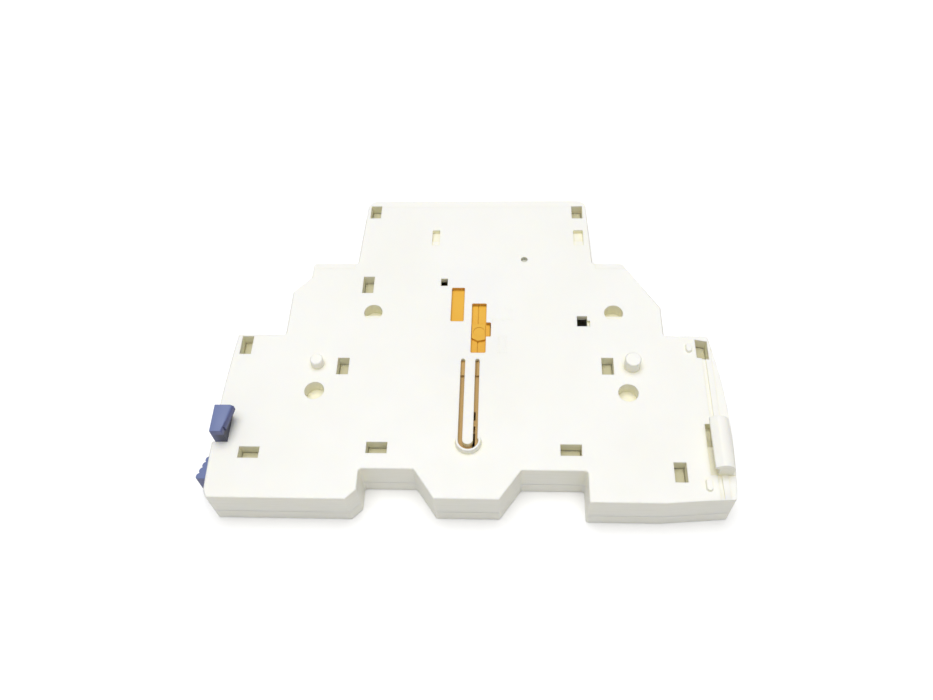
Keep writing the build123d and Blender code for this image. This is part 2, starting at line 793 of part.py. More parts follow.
# Cover shell: outer plate, rim, locating lip and the snap hooks
with BuildPart() as cover_shell:
    with BuildSketch():
        add(housing_plan())
    extrude(amount=parting_height)
    chamfer(cover_shell.faces().sort_by(Axis.Z)[0].edges(), edge_chamfer)
    chamfer(cover_shell.faces().sort_by(Axis.Z)[-1].edges(), parting_chamfer)
    with BuildSketch(Plane.XY.offset(cover_wall)):
        add(housing_plan(side_wall))
    extrude(amount=parting_height - cover_wall, mode=Mode.SUBTRACT)
    with BuildSketch(Plane.XY.offset(parting_height)):
        add(plan_ring(side_wall - lip_width, side_wall))
    extrude(amount=lip_height)

    # Snap hooks: a leg beside the ledge, and a head over it
    hook_top = ledge_top + snap_clearance / 2 + snap_head_height
    leg = window_width - ledge_depth - 2 * snap_clearance
    snap_pads(leg, -2 * snap_clearance, -ledge_depth / 2, (cover_wall, hook_top))
    snap_pads(
        window_width - 2 * snap_clearance,
        -2 * snap_clearance,
        0,
        (ledge_top + snap_clearance / 2, hook_top),
    )
    chamfer(cover_shell.faces().sort_by(Axis.Z)[-len(snap_windows):].edges(), snap_lead)

    # Pads under the bars, boss of the blade's pin, cage guides and rails under the driver
    with BuildSketch(Plane.XY.offset(cover_wall)):
        for x, y, turn in bar_clips:
            with Locations(Location((x, y, 0), (0, 0, turn))):
                Rectangle(clip_length, clip_width)
    extrude(amount=strip_low_z - cover_wall)
    post(pivot_x, pivot_y, eye_radius, (cover_wall, strip_low_z))
    post(pivot_x, pivot_y, pivot_pin_radius, (cover_wall, strip_low_z), Mode.SUBTRACT)
    for axis_x, shoulder_y, side in terminals:
        guide_top = shoulder_y - screw_head_depth - screw_head_height - screw_ledge_gap - screw_ledge
        for turn in (-1, 1):
            guide_x = axis_x + turn * (cage_width / 2 + cage_side_gap + cage_guide / 2)
            block(
                (guide_x - cage_guide / 2, guide_x + cage_guide / 2),
                (guide_top - cage_travel - cage_top - wire_space, guide_top),
                (cover_wall, wire_low_z),
            )
    for x in (driver_left_x + 0.9, driver_right_x - 0.9):
        block((x - 0.5, x + 0.5), (25.0, 35.0), (cover_wall, driver_low_z - driver_gap))
    post(latch_pivot_x, latch_pivot_y, latch_eye_radius, (cover_wall, grip_low_z - latch_gap))
    post(latch_pivot_x, latch_pivot_y, latch_pin_radius, (cover_wall, grip_low_z), Mode.SUBTRACT)
    spring_rib_x = grip_inner_x + latch_spring_length
    block(
        (spring_rib_x, spring_rib_x + latch_spring_rib),
        (latch_spring_y - latch_spring_radius - 0.3, latch_spring_y + latch_spring_radius + 0.3),
        (cover_wall, grip_high_z),
    )
    grip_opening()
    wire_entries()
    screw_access()
cover_shell.part.label = "cover_shell"

# Blue latch lever
with BuildPart() as latch_lever:
    with BuildSketch(Plane.XY.offset(grip_low_z)):
        with BuildLine():
            start = Vector(grip_end_x, grip_end_y)
            run = Vector(grip_top_x, grip_top_y) - start
            normal = Vector(-run.Y, run.X).normalized()
            for ridge in range(grip_ridges):
                foot = start + run * (ridge / grip_ridges)
                crest = start + run * ((ridge + 0.5) / grip_ridges) + normal * grip_ridge_rise
                ThreePointArc(foot, crest, start + run * ((ridge + 1) / grip_ridges))
            Polyline(
                (grip_top_x, grip_top_y),
                (latch_pivot_x - 0.8 * latch_eye_radius, latch_pivot_y + 0.4 * latch_eye_radius),
                (latch_pivot_x, latch_pivot_y),
                (latch_pivot_x + 0.6 * latch_eye_radius, latch_pivot_y - 0.6 * latch_eye_radius),
                (grip_inner_x, latch_spring_y + latch_spring_radius + 0.3),
                (grip_inner_x, grip_end_y),
                (grip_end_x, grip_end_y),
            )
        make_face()
        with Locations((latch_pivot_x, latch_pivot_y)):
            Circle(latch_eye_radius)
        with Locations(((arm_outer_x + arm_inner_x) / 2, (latch_pivot_y + neck_back_y) / 2)):
            Rectangle(arm_inner_x - arm_outer_x, neck_back_y - latch_pivot_y)
        with Locations((latch_pivot_x, latch_pivot_y)):
            Circle(latch_pin_radius + latch_clearance, mode=Mode.SUBTRACT)
    extrude(amount=grip_high_z - grip_low_z)
    block((catch_outer_x, arm_inner_x), (neck_front_y, neck_back_y), (neck_low_z, grip_high_z))
    block((catch_outer_x, neck_inner_x), (neck_front_y, neck_back_y), (grip_high_z, thickness + catch_lift))
    catch_top = thickness + catch_height
    block((catch_outer_x, catch_inner_x), (catch_front_y, catch_back_y), (thickness + catch_lift, catch_top))
    with BuildSketch(Plane.XY.offset(catch_top - catch_lip_height)):
        with BuildLine():
            Polyline(
                (catch_inner_x - 0.2, catch_lip_front_y),
                (catch_lip_front_x, catch_lip_front_y),
                (catch_lip_back_x, catch_back_y),
                (catch_inner_x - 0.2, catch_back_y),
                close=True,
            )
        make_face()
    extrude(amount=catch_lip_height)
    lip_edge = latch_lever.faces().sort_by(Axis.Z)[-1].edges().sort_by(Axis.X)[-1]
    chamfer(lip_edge, catch_chamfer)
latch_lever.part.label = "latch_lever"

with BuildPart() as latch_pin:
    post(latch_pivot_x, latch_pivot_y, latch_pin_radius, (cover_wall, ceiling_z))
    chamfer(latch_pin.edges().filter_by(GeomType.CIRCLE), 0.12)
latch_pin.part.label = "latch_pin"


def coil_spring(start, end, radius, wire, turns):
    """Compression spring between the centres of two seats."""
    axis = Vector(*end) - Vector(*start)
    length = axis.length - 2 * wire
    foot = Vector(*start) + axis.normalized() * wire
    with BuildPart() as spring:
        with BuildLine() as coil:
            Helix(length / turns, length, radius, center=tuple(foot), direction=tuple(axis))
        with BuildSketch(Plane(origin=coil.line @ 0, z_dir=coil.line % 0)):
            RegularPolygon(wire, 6)
        sweep(path=coil.line, is_frenet=True)
    return spring.part


latch_spring = coil_spring(
    (grip_inner_x, latch_spring_y, latch_spring_z),
    (grip_inner_x + latch_spring_length, latch_spring_y, latch_spring_z),
    latch_spring_radius, latch_spring_wire, latch_spring_turns,
)
latch_spring.label = "latch_spring"
driver_spring = coil_spring(
    (0, spring_seat_y + spring_seat_thickness, driver_spring_z),
    (0, spring_stop_y, driver_spring_z),
    driver_spring_radius, driver_spring_wire, driver_spring_turns,
)
driver_spring.label = "driver_spring"

# Amber driver slide: plate under the windows, stem under the tongue, block with the coupling socket
with BuildPart() as driver_slide:
    block((driver_left_x, driver_right_x), (driver_neck_y, driver_top_y), (driver_low_z, plate_top_z))
    block((-stem_half_width, stem_half_width), (stem_tip_y, driver_neck_y), (driver_low_z, driver_top_z))
    block((driver_groove_x - driver_groove_width / 2, driver_groove_x + driver_groove_width / 2),
          (driver_neck_y, driver_top_y), (plate_top_z - driver_groove_depth, plate_top_z), Mode.SUBTRACT)
    block((wing_edge_x, driver_right_x), (wing_low_y, wing_high_y), (plate_top_z - wing_drop, plate_top_z),
          Mode.SUBTRACT)
    with BuildSketch(Plane.XY.offset(driver_low_z)):
        with BuildLine():
            Polyline(*block_outline, close=True)
        make_face()
    extrude(amount=plate_top_z + block_rise - driver_low_z)
    post(block_mark_x, block_mark_y, block_mark_radius,
         (plate_top_z + block_rise - block_mark_depth, plate_top_z + block_rise), Mode.SUBTRACT)
    for y, length in stem_cuts:
        block((stem_cut_x - stem_cut_width / 2, stem_cut_x + stem_cut_width / 2),
              (y - length / 2, y + length / 2), (driver_low_z, driver_top_z), Mode.SUBTRACT)

    # Fork that moves the blade: the lower lug leaves it free until the end of the travel
    blade_low_at_fork = pivot_y + (pivot_x - fork_half_width) * swing_sin / swing_cos
    lower_lug_top = blade_low_at_fork - blade_thickness / 2 / swing_cos - fork_clearance - driver_travel
    upper_lug_low = pivot_y + blade_thickness / 2 + fork_clearance
    for low_y in (lower_lug_top - fork_lug, upper_lug_low):
        block((-fork_half_width, fork_half_width), (low_y, low_y + fork_lug), (strip_low_z, driver_low_z))

    # Seat and peg of the spring
    block((-stem_half_width, stem_half_width), (spring_seat_y, spring_seat_y + spring_seat_thickness),
          (strip_low_z, driver_low_z))
    with BuildSketch(Plane(origin=(0, spring_seat_y + spring_seat_thickness, driver_spring_z),
                           z_dir=(0, 1, 0))):
        Circle(spring_peg_radius)
    extrude(amount=spring_peg_length)
driver_slide.part.label = "driver_slide"

# Changeover blade: eye on the pivot pin and a straight arm that carries the moving rivet
blade_low_z = strip_low_z + (strip_height - blade_height) / 2
blade_high_z = blade_low_z + blade_height
with BuildPart() as changeover_blade:
    with BuildSketch(Plane.XY.offset(blade_low_z)):
        with Locations((pivot_x, pivot_y)):
            Circle(eye_radius)
        with Locations((pivot_x - blade_length / 2, pivot_y)):
            Rectangle(blade_length, blade_thickness)
        with Locations((pivot_x, pivot_y)):
            Circle(pivot_pin_radius + pivot_clearance, mode=Mode.SUBTRACT)
    extrude(amount=blade_height)
    with BuildSketch(Plane(origin=(blade_tip_x, pivot_y, blade_low_z + blade_height / 2), z_dir=(0, 1, 0))):
        Circle(rivet_shank_radius)
    extrude(amount=blade_thickness, both=True, mode=Mode.SUBTRACT)
changeover_blade.part.label = "changeover_blade"

with BuildPart() as blade_pin:
    post(pivot_x, pivot_y, pivot_pin_radius, (cover_wall, ceiling_z))
    chamfer(blade_pin.edges().filter_by(GeomType.CIRCLE), 0.15)
blade_pin.part.label = "blade_pin"


def rivet(y_start, direction, through):
    """Contact rivet: a head on one side of a strip, or on both, and its shank through the strip."""
    strip_middle_z = blade_low_z + blade_height / 2
    with BuildPart() as piece:
        with BuildSketch(Plane(origin=(blade_tip_x, y_start, strip_middle_z), z_dir=(0, direction, 0))):
            Circle(rivet_radius)
        extrude(amount=rivet_head)
        chamfer(piece.edges().filter_by(GeomType.CIRCLE).sort_by(Axis.Y)[-1 if direction > 0 else 0], 0.2)
        with BuildSketch(Plane(origin=(blade_tip_x, y_start, strip_middle_z), z_dir=(0, -direction, 0))):
            Circle(rivet_shank_radius)
        extrude(amount=through)
    return piece.part


closed_rivet = rivet(closed_contact_y + bar_thickness / 2, 1, bar_thickness)
closed_rivet.label = "closed_rivet"
open_rivet = rivet(open_contact_y - bar_thickness / 2, -1, bar_thickness)
open_rivet.label = "open_rivet"

with BuildPart() as moving_rivet:
    add(rivet(pivot_y + blade_thickness / 2, 1, blade_thickness / 2))
    add(rivet(pivot_y - blade_thickness / 2, -1, blade_thickness / 2))
moving_rivet.part.label = "moving_rivet"

# Terminal bars
strip_range = (strip_low_z, strip_top_z)
rivet_hole_z = blade_low_z + blade_height / 2
with BuildPart() as closed_bar:
    strip(closed_bar_run, strip_range)
    with BuildSketch(Plane(origin=(blade_tip_x, closed_contact_y, rivet_hole_z), z_dir=(0, 1, 0))):
        Circle(rivet_shank_radius)
    extrude(amount=bar_thickness, both=True, mode=Mode.SUBTRACT)
closed_bar.part.label = "closed_bar"

with BuildPart() as open_bar:
    strip(open_bar_run, strip_range)
    with BuildSketch(Plane(origin=(blade_tip_x, open_contact_y, rivet_hole_z), z_dir=(0, 1, 0))):
        Circle(rivet_shank_radius)
    extrude(amount=bar_thickness, both=True, mode=Mode.SUBTRACT)
open_bar.part.label = "open_bar"

with BuildPart() as common_bar:
    strip(common_bar_run, strip_range)
    with BuildSketch(Plane.XY.offset(strip_low_z)):
        with BuildLine():
            cup = CenterArc((pivot_x, pivot_y), cup_radius, -cup_half_angle, 2 * cup_half_angle)
            offset(cup, bar_thickness / 2, kind=Kind.INTERSECTION)
        make_face()
    extrude(amount=strip_height)
common_bar.part.label = "common_bar"


def terminal_screw(axis_x, shoulder_y):
    """Screw with a slotted head, along Y."""
    head_top = shoulder_y - screw_head_depth
    head_low = head_top - screw_head_height
    tip_y = shoulder_y - terminal_depth + terminal_bar_gap
    with BuildPart() as screw:
        with BuildSketch(Plane(origin=(axis_x, head_low, mid_z), z_dir=(0, 1, 0))):
            Circle(screw_head_radius)
        extrude(amount=screw_head_height)
        chamfer(screw.edges().filter_by(GeomType.CIRCLE).sort_by(Axis.Y)[-1], 0.25)
        with BuildSketch(Plane(origin=(axis_x, head_low, mid_z), z_dir=(0, -1, 0))):
            Circle(screw_radius)
        extrude(amount=head_low - tip_y)
        chamfer(screw.edges().filter_by(GeomType.CIRCLE).sort_by(Axis.Y)[0], 0.3)
        with BuildSketch(Plane(origin=(axis_x, head_top, mid_z), z_dir=(0, -1, 0))):
            Rectangle(3 * screw_head_radius, screw_slot_width)
        extrude(amount=screw_slot_depth, mode=Mode.SUBTRACT)
    return screw.part


def terminal_cage(axis_x, shoulder_y):
    """Clamp cage, open along X, with the threaded hole in its top."""
    bar_top = shoulder_y - terminal_depth
    top_y = bar_top + terminal_bar_gap + cage_top
    low_y = bar_top - terminal_bar_gap - bar_thickness - wire_space - cage_bottom
    with BuildPart() as cage:
        block((axis_x - cage_width / 2, axis_x + cage_width / 2), (low_y, top_y), (cage_low_z, cage_high_z))
        fillet(cage.edges().filter_by(Axis.X), 0.4)
        block((axis_x - cage_width, axis_x + cage_width), (low_y + cage_bottom, top_y - cage_top),
              (wire_low_z, wire_high_z), Mode.SUBTRACT)
        with BuildSketch(Plane(origin=(axis_x, top_y, mid_z), z_dir=(0, -1, 0))):
            Circle(screw_radius + thread_clearance)
        extrude(amount=cage_top, mode=Mode.SUBTRACT)
    return cage.part


terminal_names = ["left_lower", "left_upper", "right_lower"]
finished = [
    base_shell.part,
    cover_shell.part,
    latch_lever.part,
    latch_pin.part,
    latch_spring,
    driver_slide.part,
    driver_spring,
    changeover_blade.part,
    blade_pin.part,
    moving_rivet.part,
    closed_rivet,
    open_rivet,
    closed_bar.part,
    open_bar.part,
    common_bar.part,
]
for name, (axis_x, shoulder_y, side) in zip(terminal_names, terminals):
    screw = terminal_screw(axis_x, shoulder_y)
    screw.label = name + "_screw"
    cage = terminal_cage(axis_x, shoulder_y)
    cage.label = name + "_cage"
    finished += [screw, cage]

os.makedirs("parts", exist_ok=True)
for piece in finished:
    export_step(piece, "parts/" + piece.label + ".step")
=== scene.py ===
import json
import math

import bmesh
import bpy
import numpy as np
from mathutils import Matrix, Vector

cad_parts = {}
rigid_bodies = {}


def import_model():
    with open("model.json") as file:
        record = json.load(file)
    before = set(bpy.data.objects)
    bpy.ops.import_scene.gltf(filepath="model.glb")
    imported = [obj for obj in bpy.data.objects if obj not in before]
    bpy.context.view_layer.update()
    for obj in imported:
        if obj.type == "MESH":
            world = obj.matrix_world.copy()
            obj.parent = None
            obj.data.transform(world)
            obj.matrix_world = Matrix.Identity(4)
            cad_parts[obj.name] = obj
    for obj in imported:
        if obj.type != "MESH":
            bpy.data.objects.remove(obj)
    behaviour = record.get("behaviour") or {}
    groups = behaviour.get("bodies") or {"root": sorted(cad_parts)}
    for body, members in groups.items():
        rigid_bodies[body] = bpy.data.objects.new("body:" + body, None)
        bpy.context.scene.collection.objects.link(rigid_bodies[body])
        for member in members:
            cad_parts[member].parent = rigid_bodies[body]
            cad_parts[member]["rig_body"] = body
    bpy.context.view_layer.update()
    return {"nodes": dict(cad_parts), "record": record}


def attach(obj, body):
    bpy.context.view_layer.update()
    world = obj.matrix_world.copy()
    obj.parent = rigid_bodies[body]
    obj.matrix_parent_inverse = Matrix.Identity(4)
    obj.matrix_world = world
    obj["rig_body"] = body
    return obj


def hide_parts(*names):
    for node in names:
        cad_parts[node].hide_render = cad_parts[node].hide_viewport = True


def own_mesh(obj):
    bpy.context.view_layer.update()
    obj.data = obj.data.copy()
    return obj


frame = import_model()
nodes = frame["nodes"]
mm = 0.001
print("frame loaded:", len(nodes), "CAD nodes")


# The camera stands where the photo was taken: lengths in millimetres, turns in radians, reach in metres
cameraSettings = {
    "place": (7.387, -63.697, 143.046),
    "yaw": -0.09395,
    "pitch": 0.98915,
    "roll": -0.07334,
    "lens": 33.65,
    "sensor": 36.0,
    "reach": (0.005, 10),
}


def makeCamera(settings):
    yaw, pitch, roll = settings["yaw"], settings["pitch"], settings["roll"]
    forward = Vector((math.sin(yaw) * math.cos(pitch), math.cos(yaw) * math.cos(pitch), -math.sin(pitch)))
    level = Vector((math.cos(yaw), -math.sin(yaw), 0))
    up = level.cross(forward)
    right = level * math.cos(roll) + up * math.sin(roll)
    top = up * math.cos(roll) - level * math.sin(roll)
    data = bpy.data.cameras.new("camera")
    data.sensor_fit = "HORIZONTAL"
    data.sensor_width = settings["sensor"]
    data.lens = settings["lens"]
    data.clip_start, data.clip_end = settings["reach"]
    camera = bpy.data.objects.new("camera", data)
    bpy.context.scene.collection.objects.link(camera)
    turn = Matrix((right, top, -forward)).transposed()
    camera.matrix_world = Matrix.Translation(Vector(settings["place"]) * mm) @ turn.to_4x4()
    bpy.context.scene.camera = camera


makeCamera(cameraSettings)
print("camera set")


# Small helpers that wire up the materials. Most values of a noise lie in noiseSpan
noiseSpan = (0.3, 0.7)
samplesPerPoint = {"edge": 4, "closeness": 8}


def newMaterial(name):
    material = bpy.data.materials.new(name)
    material.use_nodes = True
    tree = material.node_tree
    shader = tree.nodes["Principled BSDF"]
    coordinates = tree.nodes.new("ShaderNodeTexCoord")
    return material, tree, shader, coordinates


def addNoise(tree, place, scale, detail, roughness=0.5):
    noise = tree.nodes.new("ShaderNodeTexNoise")
    noise.inputs["Scale"].default_value = scale
    noise.inputs["Detail"].default_value = detail
    noise.inputs["Roughness"].default_value = roughness
    tree.links.new(place, noise.inputs["Vector"])
    return noise.outputs["Fac"]


def addRange(tree, value, low, high, fromLow=0.0, fromHigh=1.0):
    remap = tree.nodes.new("ShaderNodeMapRange")
    remap.inputs["From Min"].default_value = fromLow
    remap.inputs["From Max"].default_value = fromHigh
    remap.inputs["To Min"].default_value = low
    remap.inputs["To Max"].default_value = high
    tree.links.new(value, remap.inputs["Value"])
    return remap.outputs["Result"]


def addMath(tree, operation, first, second=None, third=None):
    node = tree.nodes.new("ShaderNodeMath")
    node.operation = operation
    for socket, value in zip(node.inputs, (first, second, third)):
        if isinstance(value, (int, float)):
            socket.default_value = value
        elif value is not None:
            tree.links.new(value, socket)
    return node.outputs["Value"]


# Mix of two colours, each a socket or a colour
def addMix(tree, factor, first, second):
    mix = tree.nodes.new("ShaderNodeMix")
    mix.data_type = "RGBA"
    tree.links.new(factor, mix.inputs["Factor"])
    for name, value in (("A", first), ("B", second)):
        socket = [s for s in mix.inputs if s.name == name and s.type == "RGBA"][0]
        if isinstance(value, tuple):
            socket.default_value = (*value, 1)
        else:
            tree.links.new(value, socket)
    return [s for s in mix.outputs if s.type == "RGBA"][0]


def addSplit(tree, vector):
    split = tree.nodes.new("ShaderNodeSeparateXYZ")
    tree.links.new(vector, split.inputs["Vector"])
    return split.outputs["X"], split.outputs["Y"], split.outputs["Z"]


# Place with another scale along each axis, which draws a pattern out into lines
def addStretch(tree, place, scale):
    stretch = tree.nodes.new("ShaderNodeMapping")
    stretch.inputs["Scale"].default_value = scale
    tree.links.new(place, stretch.inputs["Vector"])
    return stretch.outputs["Vector"]


# 1 where a place is within half a width of the centre, both across and along
def addWithin(tree, across, along, centre, half):
    nearAcross = addMath(tree, "COMPARE", across, centre[0], half[0])
    nearAlong = addMath(tree, "COMPARE", along, centre[1], half[1])
    return addMath(tree, "MULTIPLY", nearAcross, nearAlong)


# Bump over a softened edge of the given radius
def addBump(tree, height, distance, strength, edge=0.0):
    bump = tree.nodes.new("ShaderNodeBump")
    bump.inputs["Distance"].default_value = distance
    bump.inputs["Strength"].default_value = strength
    tree.links.new(height, bump.inputs["Height"])
    if edge:
        bevel = tree.nodes.new("ShaderNodeBevel")
        bevel.samples = samplesPerPoint["edge"]
        bevel.inputs["Radius"].default_value = edge
        tree.links.new(bevel.outputs["Normal"], bump.inputs["Normal"])
    return bump.outputs["Normal"]


# Plastics: a slow drift in colour, a fine spark-eroded grain and softened edges. Walls of the cream and
# slanted sides of the blue are given a darker colour, which is painted shade
creamSettings = {
    "light": (0.94, 0.93, 0.885), "dark": (0.915, 0.905, 0.85), "roughness": (0.42, 0.56), "specular": 0.4,
    "grain": 2600, "grainDepth": 0.000012, "edge": 0.00010,
    # The wall colours hold the mould streaks and are darker than the face, as painted shade
    "shadedWallLight": (0.905, 0.89, 0.81), "shadedWallDark": (0.865, 0.85, 0.76), "streaks": (150, 150, 2600),
    "depth": 0.0015, "depthShare": 0.25, "depthTint": (1, 0.85, 0.45),
}
blueSettings = {
    "light": (0.17, 0.215, 0.43), "dark": (0.135, 0.175, 0.36), "roughness": (0.34, 0.5), "specular": 0.45,
    "grain": 2600, "grainDepth": 0.00001, "edge": 0.00010,
    # side is the colour of slanted and upright faces, darker as painted shade
    "side": (0.11, 0.125, 0.28), "sideFacing": (0.6, 0.95),
}
amberSettings = {
    "light": (0.83, 0.49, 0.06), "dark": (0.77, 0.42, 0.045), "roughness": (0.3, 0.45), "specular": 0.3,
    "grain": 1600, "grainDepth": 0.000006, "edge": 0.00008,
}

# Patterns of every plastic: the scale is per metre, and detail counts the finer layers
plasticPatterns = {
    "drift": {"scale": 60, "detail": 2},
    "patches": {"scale": 240, "detail": 3},
    "streaks": {"scale": 1, "detail": 3, "roughness": 0.6},
    "grain": {"detail": 2, "roughness": 0.6},
    "grainStrength": 0.5,
}

# Painted shade and bounce light in the cream's hollows, a painted amber reflection beside the slide and
# painted shade in the pin hole, by place in metres
hollowSettings = {
    "reach": 0.0026, "open": 0.9, "closed": 0.3,
    "colour": (0.93, 0.90, 0.70), "shadedFloorColour": (0.92, 0.875, 0.64),
    "insideHeight": (0.0033, 0.0036), "insideShadeColour": (0.55, 0.52, 0.35),
    "amberCentre": (-0.00035, 0.031), "amberHalf": (0.00405, 0.008), "amberReflectionColour": (0.76, 0.44, 0.12),
    "pinHole": (0.0098, 0.04555), "pinHoleHalf": (0.0008, 0.0008), "pinHoleHeight": (0.0086, 0.00879),
    "pinHoleShadeColour": (0.68, 0.68, 0.59),
}

# Painted shade in the hollows of the blue latch and on the neck under its lip, and on the amber stem in
# the dim light below the tongue. Their reach and places are in metres too
catchShade = {"reach": 0.004, "open": 0.8, "closed": 0.35, "colour": (0.035, 0.04, 0.075),
              "neckAcross": (-0.0442, -0.0428), "neckHeight": (0.0112, 0.0117), "neckShare": 0.97}
stemShade = {"along": (0.0224, 0.0236), "colour": (0.53, 0.345, 0.13)}


def drawColour(tree, place, settings):
    drift = addNoise(tree, place, **plasticPatterns["drift"])
    return addMix(tree, addRange(tree, drift, 0, 1, *noiseSpan), settings["light"], settings["dark"])


# 1 on an upright wall, 0 on a face that looks up or down. It changes over a span of the normal's height
def addUpright(tree, coordinates, span=(0.3, 0.7)):
    facing = addMath(tree, "ABSOLUTE", addSplit(tree, coordinates.outputs["Normal"])[2])
    return addRange(tree, facing, 1, 0, *span)


# Cream with long faint streaks along its upright walls, where the mould was drawn off; the walls take a
# darker colour there, which is painted shade
def drawCream(tree, place, upright, settings):
    drawn = addStretch(tree, place, settings["streaks"])
    streaks = addRange(tree, addNoise(tree, drawn, **plasticPatterns["streaks"]), 0, 1, *noiseSpan)
    side = addMix(tree, streaks, settings["shadedWallLight"], settings["shadedWallDark"])
    return addMix(tree, upright, drawColour(tree, place, settings), side)


# Light goes a little way into the cream plastic
def addDepth(shader, settings):
    shader.inputs["Subsurface Weight"].default_value = settings["depthShare"]
    shader.inputs["Subsurface Scale"].default_value = settings["depth"]
    shader.inputs["Subsurface Radius"].default_value = settings["depthTint"]


def finishPlastic(tree, shader, place, colour, settings):
    tree.links.new(colour, shader.inputs["Base Color"])
    patches = addNoise(tree, place, **plasticPatterns["patches"])
    roughness = addRange(tree, patches, *settings["roughness"], *noiseSpan)
    tree.links.new(roughness, shader.inputs["Roughness"])
    grain = addNoise(tree, place, settings["grain"], **plasticPatterns["grain"])
    strength = plasticPatterns["grainStrength"]
    normal = addBump(tree, grain, settings["grainDepth"], strength, settings["edge"])
    tree.links.new(normal, shader.inputs["Normal"])
    shader.inputs["Specular IOR Level"].default_value = settings["specular"]


# How far the piece closes round a point: 0 in the open, 1 deep in a hollow
def addCloseness(tree, settings):
    occlusion = tree.nodes.new("ShaderNodeAmbientOcclusion")
    occlusion.only_local = True
    occlusion.samples = samplesPerPoint["closeness"]
    occlusion.inputs["Distance"].default_value = settings["reach"]
    return addRange(tree, occlusion.outputs["AO"], 1, 0, settings["closed"], settings["open"])


def makeBluePlastic(name, settings, shade):
    material, tree, shader, coordinates = newMaterial(name)
    place = coordinates.outputs["Object"]
    across, _, height = addSplit(tree, place)
    # Painted shade beside the neck under the lip and in the latch's hollows
    besideNeck = addRange(tree, across, 0, shade["neckShare"], *shade["neckAcross"])
    neck = addMath(tree, "MULTIPLY", besideNeck, addRange(tree, height, 1, 0, *shade["neckHeight"]))
    shaded = addMath(tree, "MAXIMUM", neck, addCloseness(tree, shade))
    # Slanted and upright faces take a darker colour, as painted shade
    slantedInShade = addUpright(tree, coordinates, settings["sideFacing"])
    colour = addMix(tree, slantedInShade, drawColour(tree, place, settings), settings["side"])
    colour = addMix(tree, shaded, colour, shade["colour"])
    finishPlastic(tree, shader, place, colour, settings)
    return material


def makeAmberPlastic(name, settings, shade):
    material, tree, shader, coordinates = newMaterial(name)
    place = coordinates.outputs["Object"]
    # The stem below the tongue is painted darker, as painted shade
    stemInShade = addRange(tree, addSplit(tree, place)[1], 1, 0, *shade["along"])
    colour = addMix(tree, stemInShade, drawColour(tree, place, settings), shade["colour"])
    finishPlastic(tree, shader, place, colour, settings)
    return material


# Cream of the base, with painted shade: olive where the moulding closes round it, a painted amber
# reflection beside the slide, and a darker pin hole
def makeBaseCream(name, settings, hollow):
    material, tree, shader, coordinates = newMaterial(name)
    place = coordinates.outputs["Object"]
    across, along, height = addSplit(tree, place)
    upright = addUpright(tree, coordinates)
    hollowShadeColour = addMix(tree, upright, hollow["shadedFloorColour"], hollow["colour"])
    colour = drawCream(tree, place, upright, settings)
    # Painted shade: hollow walls and floors take an olive colour
    colour = addMix(tree, addCloseness(tree, hollow), colour, hollowShadeColour)
    # Painted amber reflection on the upright walls beside the slide
    besideSlide = addWithin(tree, across, along, hollow["amberCentre"], hollow["amberHalf"])
    beside = addMath(tree, "MULTIPLY", besideSlide, upright)
    colour = addMix(tree, beside, colour, hollow["amberReflectionColour"])
    # Painted shade inside the pin hole
    overHole = addWithin(tree, across, along, hollow["pinHole"], hollow["pinHoleHalf"])
    inHole = addMath(tree, "MULTIPLY", overHole, addRange(tree, height, 1, 0, *hollow["pinHoleHeight"]))
    colour = addMix(tree, inHole, colour, hollow["pinHoleShadeColour"])
    finishPlastic(tree, shader, place, colour, settings)
    addDepth(shader, settings)
    return material


# Cream of the cover: all that stands above its rim is inside the block, so it is painted an olive shade
def makeCoverCream(name, settings, hollow):
    material, tree, shader, coordinates = newMaterial(name)
    place = coordinates.outputs["Object"]
    inside = addRange(tree, addSplit(tree, place)[2], 0, 1, *hollow["insideHeight"])
    colour = drawCream(tree, place, addUpright(tree, coordinates), settings)
    colour = addMix(tree, inside, colour, hollow["insideShadeColour"])
    finishPlastic(tree, shader, place, colour, settings)
    addDepth(shader, settings)
    return material


baseCream = makeBaseCream("cream_plastic", creamSettings, hollowSettings)
# Light that went into a thin mark would be lost below it, so its cream has no depth and no softened edge
markSurface = {**creamSettings, "edge": 0.0, "depthShare": 0.0}
markCream = makeBaseCream("cream_plastic_mark", markSurface, hollowSettings)
coverCream = makeCoverCream("cream_plastic_cover", creamSettings, hollowSettings)
bluePlastic = makeBluePlastic("blue_plastic", blueSettings, catchShade)
amberPlastic = makeAmberPlastic("amber_plastic", amberSettings, stemShade)


# Metals: fine drawn lines along the strip or wire, and a thin tarnish
metalSettings = {
    "plated_steel": {"light": (0.66, 0.65, 0.62), "dark": (0.50, 0.49, 0.46), "roughness": (0.28, 0.45)},
    "spring_steel": {"light": (0.55, 0.55, 0.56), "dark": (0.40, 0.40, 0.42), "roughness": (0.22, 0.35)},
    "brass": {"light": (0.76, 0.56, 0.26), "dark": (0.62, 0.42, 0.18), "roughness": (0.25, 0.42)},
    "silver_contact": {"light": (0.86, 0.85, 0.82), "dark": (0.70, 0.69, 0.67), "roughness": (0.18, 0.32)},
}

metalPatterns = {
    "tarnish": {"scale": 300, "detail": 4}, "tarnishSpan": (0.35, 0.7),
    "lines": {"scale": 3000, "detail": 2}, "lineStretch": (0.15, 0.15, 3.0),
    "lineDepth": 0.000004, "lineStrength": 0.4,
}


